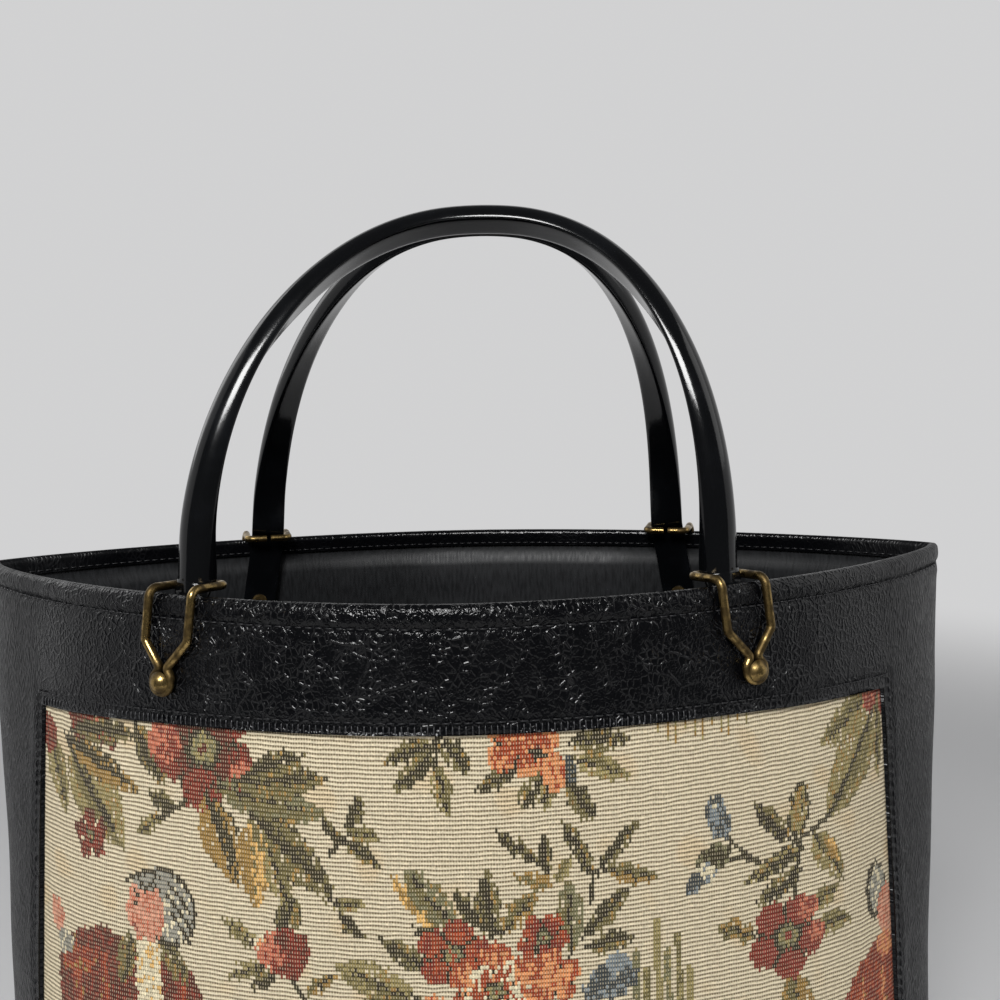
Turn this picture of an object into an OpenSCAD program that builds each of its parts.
// Tapestry handbag: a soft open tote with a woven picture in a vinyl frame,
// two twisted half-round handles and four bent wire clips held by rivets.
// Millimetres. Z is up from the floor, the front face looks along -Y.

/* [Body] */
// Height of the rim above the floor
body_height = 299; // [260:1:330]
// How far the middle of each face swells out half way up
belly = 7; // [0:0.5:12]

/* [Mouth] */
// Width of the open mouth between the side seams
mouth_width = 374; // [350:1:400]
// Depth of the open mouth at its middle
mouth_depth = 169; // [140:1:190]
// How far the side seams sit behind the middle of the mouth
seam_setback = 17; // [0:1:24]
// Fullness of the mouth curve along each face
mouth_fullness = 1.8; // [1.6:0.05:2.2]
// Roundness of the mouth curve at the seams
mouth_rounding = 1.2; // [1.1:0.05:1.4]

/* [Base] */
// Length of the bottom
base_length = 351; // [320:1:370]
// Depth of the bottom, front to back
base_depth = 136; // [130:1:160]
// Corner radius of the bottom
base_corner = 64; // [40:1:65]
// Height over which the wall rolls in to the bottom
base_roll = 9; // [6:0.5:14]

/* [Layers] */
// Thickness of the vinyl
vinyl = 1.2; // [0.9:0.1:1.6]
// Loose room between one layer and the next
ease = 0.3; // [0.2:0.05:0.5]
// Thickness of the tapestry behind its ribs
tapestry_back = 0.8; // [0.6:0.1:1.2]
// Thickness of the lining
lining = 1; // [0.7:0.1:1.3]
// Thickness of the stiff board in the bottom
board = 2.4; // [1.8:0.1:3.2]
// Room between the board and the walls
board_room = 3; // [2:0.5:6]
// Width of the vinyl turned in over the rim
hem_width = 7; // [5:0.5:10]
// Radius of the rounded rim
rim_round = 1; // [0.6:0.1:1.2]

/* [Tapestry] */
// Width of the window in the vinyl, along the cloth
window_width = 320; // [290:1:330]
// Vinyl above the window, from the rim down
top_band = 39; // [38:1:60]
// How far the window's upper edge falls from its middle to its corners
window_arch = 4.5; // [0:0.5:8]
// Vinyl below the window, from the floor up
bottom_band = 38; // [28:1:60]
// Tapestry held behind the vinyl all round the window
margin = 7; // [5:0.5:7]
// Height of the woven ribs
rib_height = 0.5; // [0.3:0.05:0.8]
// Spacing of the woven ribs
rib_pitch = 2.4; // [2:0.1:4]

/* [Handles] */
// Width of the half-round strap
strap_width = 13.6; // [11:0.2:16]
// Thickness of the half-round strap
strap_height = 7.5; // [6:0.1:9]
// Rise of the handle above its feet
handle_rise = 117; // [90:1:140]
// Distance along the rim from the middle of a face to a handle foot
foot_reach = 92; // [76:1:96]
// Distance between the two handles at the top
top_gap = 16; // [14:1:40]
// How far the handle tops stand to one side
side_lean = 9; // [0:1:12]
// Squareness of the arch: 1 is an ellipse
arch_shape = 0.87; // [0.75:0.01:1]
// How late the handle leans in as it rises
lean_power = 2.2; // [1.5:0.1:3]
// Turn of the flat side at the top of the arch
top_turn = 105; // [90:1:115]
// Thickness of the flattened foot
foot_height = 3; // [2:0.1:4]
// Length of the flattened foot below the rim
foot_length = 36; // [32:1:44]

/* [Clips] */
// Diameter of the brass wire
wire = 2.8; // [2:0.1:3.2]
// Free play between the wire and what it passes
wire_play = 0.4; // [0.3:0.05:0.6]
// Distance from the rim down to the wire's bend
kink_drop = 14; // [10:0.5:18]
// Distance from the rivet up to the neck of the wire's loop
neck_rise = 4.4; // [4.2:0.1:5.5]
// Gap between the two ends of the wire
end_gap = 1.8; // [1:0.1:3]
// Bend radius of the wire
wire_bend = 3; // [2.4:0.1:3.4]
// Splay of the clip and foot away from upright
clip_splay = 9; // [0:0.5:12]

/* [Rivets] */
// Distance from the rim down to the rivet
rivet_drop = 27; // [26:0.5:28]
// Shank diameter of the rivet
rivet_shank = 3.6; // [3:0.1:4]
// Diameter of the domed head
rivet_head = 7; // [6:0.1:8]
// Height of the domed head
dome_height = 2.1; // [1.5:0.1:3]
// Diameter of the rolled ring inside
rivet_ring = 6.6; // [6:0.1:7.5]
// Thickness of the rolled ring
ring_height = 1.6; // [1.2:0.1:2]
// Bore of the hollow shank
rivet_bore = 1.8; // [1.2:0.1:2]
// Clearance of each hole round the shank
hole_play = 0.15; // [0.1:0.05:0.3]

/* [Hidden] */
front = -1;
back = 1;
table_steps = 60;
strip_steps = [0, 0.08, 0.25, 0.55];
window_steps = [0.09, 0.18, 0.29, 0.42, 0.58, 0.71, 0.82, 0.91];
back_steps = [0, 0.01, 0.035, 0.08, 0.14, 0.22, 0.32, 0.44, 0.56, 0.68, 0.78, 0.86, 0.92, 0.965, 0.99, 1];
roll_steps = [0, 0.35, 1];
arch_steps = 30;
dome_steps = 9;
seam_draw = 1.2;
twist_power = 0.85;
bend_lap = 0.1;
bend_swell = 0.03;
loop_flat = 0.3;
seat_play = 0.03;
cloth_steps = 8;

// Distances of each layer in from the outer skin
tapestry_in = vinyl + ease;
rib_in = tapestry_in + rib_height;
tapestry_end = rib_in + tapestry_back;
lining_in = tapestry_end + ease;
lining_end = lining_in + lining;
hem_lining_in = vinyl + ease;
hem_lining_end = hem_lining_in + lining;
flap_in = hem_lining_end + ease;
hem_end = flap_in + vinyl;
foot_in = max(hem_end, lining_end) + 2 * ease;

// Heights
window_top = body_height - top_band;
window_bottom = bottom_band;
tapestry_low = window_bottom - margin;
tapestry_high = window_top + margin;
hem_low = body_height - hem_width;
lining_high = body_height - vinyl - ease;
board_low = vinyl;
floor_low = board_low + board;

function cloth_row(k) = tapestry_low + (tapestry_high - tapestry_low) * k / cloth_steps;

// Clip sizes
wire_out = wire / 2 + wire_play;
wire_back = foot_in + strap_height + wire_play + wire / 2;
leg_half = strap_width / 2 + wire_play + wire / 2;
loop_radius = rivet_shank / 2 + hole_play + wire / 2;
neck_bend = wire / 2 + hole_play;
head_low = wire_out + wire / 2 + bend_swell;

// Mouth and bottom outlines, both walked by a share u from the left seam to the right
function mouth_reach(side) = mouth_depth / 2 - side * seam_setback;
function mouth_swell(t) = pow(1 - pow(abs(cos(t)), mouth_fullness), 1 / mouth_rounding);
function mouth_curve(t, side, d) = [
    -(mouth_width / 2 - seam_draw * d) * cos(t),
    seam_setback + side * (mouth_reach(side) - d) * mouth_swell(t)
];
function mouth_points(side) = [for (i = [0 : table_steps]) mouth_curve(180 * i / table_steps, side, 0)];
function run(p) = [
    for (i = 0, s = 0; i < len(p); s = s + norm(p[min(i + 1, len(p) - 1)] - p[i]), i = i + 1) s
];
function mouth_length(side) = run(mouth_points(side))[table_steps];
function mouth_table(side) =
    let (lengths = run(mouth_points(side)))
    [for (i = [0 : table_steps]) [lengths[i] / lengths[table_steps], 180 * i / table_steps]];
front_table = mouth_table(front);
back_table = mouth_table(back);
function mouth_at(u, side, d) = mouth_curve(lookup(u, side == front ? front_table : back_table), side, d);

function base_at(u, side, d) =
    let (
        r = base_corner - d,
        a = base_length / 2 - d,
        b = base_depth / 2 - d,
        arc = PI * r / 2,
        total = 2 * (b - r) + 2 * arc + 2 * (a - r),
        s = min(u, 1 - u) * total,
        q = max(0, min(90, (s - (b - r)) / arc * 90)),
        x = s < b - r + arc ? -(a - r) - r * cos(q) : -(a - r) + s - (b - r) - arc,
        y = s < b - r ? s : b - r + r * sin(q)
    )
    [(u > 0.5 ? -1 : 1) * x, side * y];

// A point of the wall: share u across the face, height z, depth d in from the skin
function tuck(z) = base_roll / 2 * pow(max(0, 1 - z / base_roll), 2);
function wall_at(u, side, z, d) =
    let (
        v = z / body_height,
        b = base_at(u, side, d + tuck(z)),
        m = mouth_at(u, side, d)
    )
    [
        b[0] + (m[0] - b[0]) * v,
        b[1] + (m[1] - b[1]) * v + side * belly * sin(180 * v) * sin(180 * u),
        z
    ];

// Columns across the faces, so that the layers share their facets
window_u = (1 - window_width / mouth_length(front)) / 2;
tapestry_u = window_u - margin / mouth_length(front);
left_columns = concat([for (s = strip_steps) s * tapestry_u], [tapestry_u, window_u]);
window_columns = [for (s = window_steps) window_u + s * (1 - 2 * window_u)];
right_columns = [for (i = [len(left_columns) - 1 : -1 : 0]) 1 - left_columns[i]];
front_columns = concat(left_columns, window_columns, right_columns);
back_columns = [for (i = [len(back_steps) - 1 : -1 : 0]) back_steps[i]];
window_first = len(left_columns) - 1;
window_last = window_first + len(window_columns) + 1;

// Rows of the vinyl, each with height and depth on the outer and the inner side
roll_rows = [for (s = roll_steps) vinyl + s * (base_roll - vinyl)];
side_rows = [for (i = [1 : 7]) window_bottom + (window_top - window_bottom) * i / 8];
front_rows = concat(roll_rows, [(base_roll + window_bottom) / 2, window_bottom], side_rows, [window_top]);
back_rows = concat(roll_rows, [for (i = [1 : 5]) base_roll + (window_top - base_roll) * i / 5]);
hem_rows = [
    [hem_low, 0, hem_low, vinyl],
    [body_height - rim_round, 0, body_height - vinyl, vinyl],
    [body_height, rim_round, body_height - vinyl, vinyl + rim_round / 2],
    [body_height, hem_end - rim_round, body_height - vinyl, flap_in - rim_round / 2],
    [body_height - rim_round, hem_end, body_height - vinyl, flap_in],
    [hem_low, hem_end, hem_low, flap_in]
];
function vinyl_rows(rows) = concat([for (z = rows) [z, 0, z, vinyl]], hem_rows);
window_row_low = len(roll_rows) + 1;
window_row_high = window_row_low + len(side_rows) + 1;

// Solid sheet from two point grids, with an optional hole given in cells
module sheet(outer, inner, hole) {
    rows = len(outer);
    cols = len(outer[0]);
    n = rows * cols;
    function in_hole(r, c) =
        len(hole) == 4 && r >= hole[0] && r < hole[1] && c >= hole[2] && c < hole[3];
    function kept(r, c) = r >= 0 && r < rows - 1 && c >= 0 && c < cols - 1 && !in_hole(r, c);
    function edge(a, b) = [[b, a, a + n], [b, a + n, b + n]];
    faces = [
        for (r = [0 : rows - 2], c = [0 : cols - 2])
        if (kept(r, c))
        let (p = r * cols + c, q = p + cols)
        each concat(
            [[p, q, q + 1], [p, q + 1, p + 1]],
            [[p + n, q + 1 + n, q + n], [p + n, p + 1 + n, q + 1 + n]],
            kept(r - 1, c) ? [] : edge(p + 1, p),
            kept(r + 1, c) ? [] : edge(q, q + 1),
            kept(r, c - 1) ? [] : edge(p, q),
            kept(r, c + 1) ? [] : edge(q + 1, p + 1)
        )
    ];
    points = concat([for (row = outer) each row], [for (row = inner) each row]);
    polyhedron(points = points, faces = faces, convexity = 8);
}

// Drop of a row towards the corners of the window, fading out above and below its upper edge
function fall(u, z, hole) =
    let (
        across = min(1, abs(u - 0.5) / (0.5 - window_u)),
        fade = max(0, 1 - abs(z - window_top) / (hem_low - window_top))
    )
    len(hole) == 0 ? 0 : window_arch * pow(across, 2) * fade;

module wall_sheet(side, columns, rows, hole) {
    sheet(
        [for (w = rows) [for (u = columns) wall_at(u, side, w[0] - fall(u, w[0], hole), w[1])]],
        [for (w = rows) [for (u = columns) wall_at(u, side, w[2] - fall(u, w[2], hole), w[3])]],
        hole
    );
}

// Place of a clip: on the rim, with its axes along the rim, out of the wall and up the wall
function clip_u(side, hand) = 0.5 + hand * foot_reach / mouth_length(side);
function unit(p) = p / norm(p);
function clip_spot(side, hand) = wall_at(clip_u(side, hand), side, body_height, 0);
function clip_up(side, hand) =
    unit(clip_spot(side, hand) - wall_at(clip_u(side, hand), side, body_height - rivet_drop, 0));
function clip_along(side, hand) =
    let (
        u = clip_u(side, hand),
        step = wall_at(u + 0.01, side, body_height, 0) - wall_at(u - 0.01, side, body_height, 0),
        up = clip_up(side, hand)
    )
    unit(step - up * (step * up));
function clip_out(side, hand) = -side * cross(clip_along(side, hand), clip_up(side, hand));
// How far the rim stands above the clip's own level where the wire crosses it
function rim_rise(side, hand) = max([
    for (s = [-1, 1], d = [0, hem_end])
    (wall_at(clip_u(side, hand) + s * leg_half / mouth_length(side), side, body_height, d)
        - clip_spot(side, hand)) * clip_up(side, hand)
]);
wire_over = wire / 2 + wire_play + max([for (side = [front, back], hand = [-1, 1]) rim_rise(side, hand)]);
// Sideways lean of the clip and the handle foot, z below the rim
function lean(hand, z) = hand * tan(clip_splay) * max(0, -z);

module at_clip(side, hand) {
    o = clip_spot(side, hand);
    n = clip_out(side, hand);
    w = clip_up(side, hand);
    e = cross(n, w);
    multmatrix([
        [e[0], n[0], w[0], o[0]],
        [e[1], n[1], w[1], o[1]],
        [e[2], n[2], w[2], o[2]],
        [0, 0, 0, 1]
    ])
    children();
}

// Round wire through corner points, each corner bent to its own radius
function corner_turn(p, i) =
    let (a = unit(p[i] - p[i - 1]), b = unit(p[i + 1] - p[i]))
    acos(max(-1, min(1, a * b)));
function corner_cut(p, r, i) = i == 0 || i == len(p) - 1 ? 0 : r[i] * tan(corner_turn(p, i) / 2);

module rod(a, b, d) {
    v = b - a;
    l = norm(v);
    translate(a)
    rotate([0, acos(v[2] / l), atan2(v[1], v[0])])
    cylinder(d = d, h = l, $fn = 32);
}

module elbow(p, r, i, d) {
    a = unit(p[i] - p[i - 1]);
    b = unit(p[i + 1] - p[i]);
    turn = corner_turn(p, i);
    start = p[i] - a * corner_cut(p, r, i);
    axis = unit(cross(a, b));
    inward = cross(axis, a);
    middle = start + inward * r[i];
    x = -inward;
    multmatrix([
        [x[0], a[0], axis[0], middle[0]],
        [x[1], a[1], axis[1], middle[1]],
        [x[2], a[2], axis[2], middle[2]],
        [0, 0, 0, 1]
    ])
    rotate_extrude(angle = turn, $fn = 96)
    translate([r[i], 0])
    circle(d = d, $fn = 32);
}

module bent_wire(p, r, d) {
    last = len(p) - 2;
    for (i = [0 : last]) {
        v = unit(p[i + 1] - p[i]);
        a = p[i] + v * (corner_cut(p, r, i) - (i == 0 ? 0 : bend_lap));
        b = p[i + 1] - v * (corner_cut(p, r, i + 1) - (i == last ? 0 : bend_lap));
        rod(a, b, d);
    }
    for (i = [1 : last]) {
        elbow(p, r, i, d + bend_swell);
    }
}

// One clip: hand is the side it leans to, in its own axes
module clip(hand) {
    half = [
        [end_gap / 2, -wire_back, wire_over],
        [leg_half, -wire_back, wire_over],
        [leg_half, wire_out, wire_over],
        [leg_half, wire_out, -kink_drop],
        [wire / 2, wire_out, neck_rise - rivet_drop],
        [loop_radius, wire_out, loop_radius / 2 - rivet_drop],
        [loop_radius, wire_out, -rivet_drop - loop_radius]
    ];
    other = [for (i = [len(half) - 1 : -1 : 0]) [-half[i][0], half[i][1], half[i][2]]];
    path = [for (p = concat(half, other)) p + [lean(hand, p[2]), 0, 0]];
    bends = [0, wire_bend, wire_bend, wire_bend, neck_bend, neck_bend, loop_radius - loop_flat];
    back_bends = [for (i = [len(bends) - 1 : -1 : 0]) bends[i]];
    color([0.62, 0.5, 0.26])
    bent_wire(path, concat(bends, back_bends), wire);
}

// Rivet along the clip's outward axis
module rivet() {
    ring_low = foot_in + foot_height + seat_play;
    dome_radius = (pow(rivet_head / 2, 2) + pow(dome_height, 2)) / (2 * dome_height);
    dome_angle = asin(rivet_head / 2 / dome_radius);
    dome = [
        for (i = [0 : 8])
        let (a = dome_angle * (1 - i / 8))
        [dome_radius * sin(a), head_low + dome_height - dome_radius * (1 - cos(a))]
    ];
    color([0.6, 0.48, 0.24])
    rotate([-90, 0, 0])
    rotate_extrude($fn = 48)
    polygon(concat(
        [
            [0, -ring_low + rivet_shank],
            [rivet_bore / 2, -ring_low + rivet_shank],
            [rivet_bore / 2, -ring_low - ring_height / 2],
            [rivet_bore / 2 + ring_height / 3, -ring_low - ring_height],
            [rivet_ring / 2 - ring_height / 3, -ring_low - ring_height],
            [rivet_ring / 2, -ring_low - ring_height / 2],
            [rivet_ring / 2, -ring_low],
            [rivet_shank / 2, -ring_low],
            [rivet_shank / 2, head_low]
        ],
        dome
    ));
}

module rivet_holes(side) {
    for (hand = [-1, 1]) {
        at_clip(side, hand)
        translate([lean(side * hand, -rivet_drop), 0, -rivet_drop])
        rotate([90, 0, 0])
        cylinder(d = rivet_shank + 2 * hole_play, h = 60, center = true, $fn = 32);
    }
}

// Handle: rings of a half-round section carried along the foot, the arch and the other foot
function half_round(c, flat, across, w, h) = concat(
    [c + flat * h / 2 - across * w / 2 * 0.94, c + flat * h / 2 + across * w / 2 * 0.94],
    [
        for (i = [0 : dome_steps])
        let (a = 180 * i / dome_steps)
        c + across * w / 2 * cos(a) + flat * (h * 0.4 - h * 0.9 * sin(a))
    ]
);
function inward(side) = [0, -side, 0];
function foot_middle(side, hand, z, h) =
    clip_spot(side, hand) + clip_along(side, hand) * lean(hand, z) + clip_up(side, hand) * z
        - clip_out(side, hand) * (foot_in + h / 2);
function arch_foot(side, hand) = foot_middle(side, hand, 2 * wire + wire_over, strap_height);
function arch_point(side, a) =
    let (
        l = arch_foot(side, -1),
        r = arch_foot(side, 1),
        rise = sin(a),
        spread = -sign(cos(a)) * pow(abs(cos(a)), arch_shape),
        x = (l[0] + r[0]) / 2 + (r[0] - l[0]) / 2 * spread + side_lean * pow(rise, 1.5),
        y = l[1] + (side * (top_gap / 2) - l[1]) * pow(rise, lean_power)
    )
    [x, y, l[2] + handle_rise * rise];
function wall_turn(side) =
    let (n = clip_out(side, -1))
    atan2(-n[0], abs(n[1]));
function arch_ring(side, a) =
    let (
        t = unit(arch_point(side, a + 1) - arch_point(side, a - 1)),
        y = inward(side),
        face = unit(y - t * (y * t)),
        centre = -side * cross(face, t),
        turn = wall_turn(side) + (top_turn - wall_turn(side)) * pow(sin(a), twist_power),
        flat = face * cos(turn) + centre * sin(turn)
    )
    half_round(arch_point(side, a), flat, cross(flat, t), strap_width, strap_height);
function foot_ring(side, hand, z, h) =
    let (
        flat = -clip_out(side, hand),
        t = -hand * unit(clip_up(side, hand) - clip_along(side, hand) * lean(hand, -1))
    )
    half_round(foot_middle(side, hand, z, h), flat, cross(flat, t), strap_width, h);
function foot_rings(side, hand) = [
    foot_ring(side, hand, -foot_length, foot_height),
    foot_ring(side, hand, -foot_length / 2, foot_height),
    foot_ring(side, hand, -wire, foot_height),
    foot_ring(side, hand, wire, (foot_height + strap_height) / 2),
    foot_ring(side, hand, 2 * wire, strap_height)
];
function handle_rings(side) = concat(
    foot_rings(side, -1),
    [for (i = [1 : arch_steps - 1]) arch_ring(side, 180 * i / arch_steps)],
    [for (i = [4 : -1 : 0]) foot_rings(side, 1)[i]]
);

module skin(rings, flip) {
    n = len(rings[0]);
    last = (len(rings) - 1) * n;
    walls = [
        for (r = [0 : len(rings) - 2], i = [0 : n - 1])
        let (
            p = r * n + i,
            q = r * n + (i + 1) % n
        )
        each [[p, q, q + n], [p, q + n, p + n]]
    ];
    ends = [[for (i = [n - 1 : -1 : 0]) i], [for (i = [0 : n - 1]) last + i]];
    faces = concat(walls, ends);
    turned_faces = [for (f = faces) flip ? [for (i = [len(f) - 1 : -1 : 0]) f[i]] : f];
    polyhedron(points = [for (r = rings) each r], faces = turned_faces, convexity = 6);
}

module handle(side) {
    color([0.05, 0.05, 0.055])
    difference() {
        skin(handle_rings(side), true);
        rivet_holes(side);
    }
}

// Pieces
module front_vinyl() {
    color([0.07, 0.075, 0.09])
    difference() {
        wall_sheet(front, front_columns, vinyl_rows(front_rows),
            [window_row_low, window_row_high, window_first, window_last]);
        rivet_holes(front);
    }
}

module back_vinyl() {
    color([0.07, 0.075, 0.09])
    difference() {
        wall_sheet(back, back_columns, vinyl_rows(back_rows), []);
        rivet_holes(back);
    }
}

function outline(d) = concat(
    [for (u = front_columns) base_at(u, front, d)],
    [for (i = [1 : len(back_columns) - 2]) base_at(back_columns[i], back, d)]
);

module base_vinyl() {
    color([0.07, 0.075, 0.09])
    linear_extrude(height = vinyl)
    polygon(outline(tuck(vinyl)));
}

module base_board() {
    color([0.5, 0.42, 0.3])
    translate([0, 0, board_low])
    linear_extrude(height = board)
    polygon(outline(tuck(vinyl) + lining_end + board_room));
}

// Woven panel: ribs on the face, plain at the back, zipped together along the sides
module tapestry_panel() {
    ribs = floor((tapestry_high - tapestry_low) / rib_pitch);
    pitch = (tapestry_high - tapestry_low) / ribs;
    columns = [for (u = front_columns) if (u > tapestry_u - 0.0001 && u < 1 - tapestry_u + 0.0001) u];
    m = len(columns);
    face_rows = [
        for (i = [0 : 2 * ribs])
        [tapestry_low + i * pitch / 2, i % 2 == 0 ? rib_in : tapestry_in]
    ];
    match = [for (k = [0 : cloth_steps]) 2 * round(k * ribs / cloth_steps)];
    face = [for (w = face_rows) each [for (u = columns) wall_at(u, front, w[0], w[1])]];
    rear = [
        for (k = [0 : cloth_steps])
        each [for (u = columns) wall_at(u, front, cloth_row(k), tapestry_end)]
    ];
    n = len(face);
    face_tris = [
        for (r = [0 : 2 * ribs - 1], c = [0 : m - 2])
        let (p = r * m + c, q = p + m)
        each [[p, q, q + 1], [p, q + 1, p + 1]]
    ];
    rear_tris = [
        for (k = [0 : cloth_steps - 1], c = [0 : m - 2])
        let (p = n + k * m + c, q = p + m)
        each [[p, q + 1, q], [p, p + 1, q + 1]]
    ];
    top = 2 * ribs * m;
    rear_top = n + cloth_steps * m;
    edge_tris = [
        for (c = [0 : m - 2])
        each [
            [c, c + 1, n + c + 1],
            [c, n + c + 1, n + c],
            [top + c + 1, top + c, rear_top + c],
            [top + c + 1, rear_top + c, rear_top + c + 1]
        ]
    ];
    side_tris = [
        for (k = [0 : cloth_steps - 1])
        let (b = n + k * m, e = m - 1)
        each concat(
            [for (j = [match[k] : match[k + 1] - 1]) [(j + 1) * m, j * m, b]],
            [[match[k + 1] * m, b, b + m]],
            [for (j = [match[k] : match[k + 1] - 1]) [j * m + e, (j + 1) * m + e, b + e]],
            [[match[k + 1] * m + e, b + m + e, b + e]]
        )
    ];
    color([0.74, 0.66, 0.48])
    polyhedron(
        points = concat(face, rear),
        faces = concat(face_tris, rear_tris, edge_tris, side_tris),
        convexity = 10
    );
}

// Inner bag: two walls sewn in at the hem and the bottom seam, and a floor over the board
module lining_wall(side, columns) {
    rows = concat(
        [for (z = roll_rows) [z, lining_in, z, lining_end]],
        [for (k = [0 : cloth_steps]) [cloth_row(k), lining_in, cloth_row(k), lining_end]],
        [
            [hem_low - ease, hem_lining_in, hem_low - ease, hem_lining_end],
            [lining_high, hem_lining_in, lining_high, hem_lining_end]
        ]
    );
    color([0.1, 0.1, 0.11])
    difference() {
        wall_sheet(side, columns, rows, []);
        rivet_holes(side);
    }
}

module front_lining() {
    lining_wall(front, front_columns);
}

module back_lining() {
    lining_wall(back, back_columns);
}

module floor_lining() {
    color([0.1, 0.1, 0.11])
    translate([0, 0, floor_low])
    linear_extrude(height = lining)
    polygon(outline(tuck(floor_low) + lining_end + 2 * ease));
}

module front_handle() {
    handle(front);
}

module back_handle() {
    handle(back);
}

module front_left_clip() {
    at_clip(front, -1) clip(1);
}

module front_right_clip() {
    at_clip(front, 1) clip(-1);
}

module back_left_clip() {
    at_clip(back, -1) clip(-1);
}

module back_right_clip() {
    at_clip(back, 1) clip(1);
}

module rivets() {
    for (side = [front, back], hand = [-1, 1]) {
        at_clip(side, hand)
        translate([lean(side * hand, -rivet_drop), 0, -rivet_drop])
        rivet();
    }
}

front_vinyl();
back_vinyl();
base_vinyl();
base_board();
tapestry_panel();
front_lining();
back_lining();
floor_lining();
front_handle();
back_handle();
front_left_clip();
front_right_clip();
back_left_clip();
back_right_clip();
rivets();
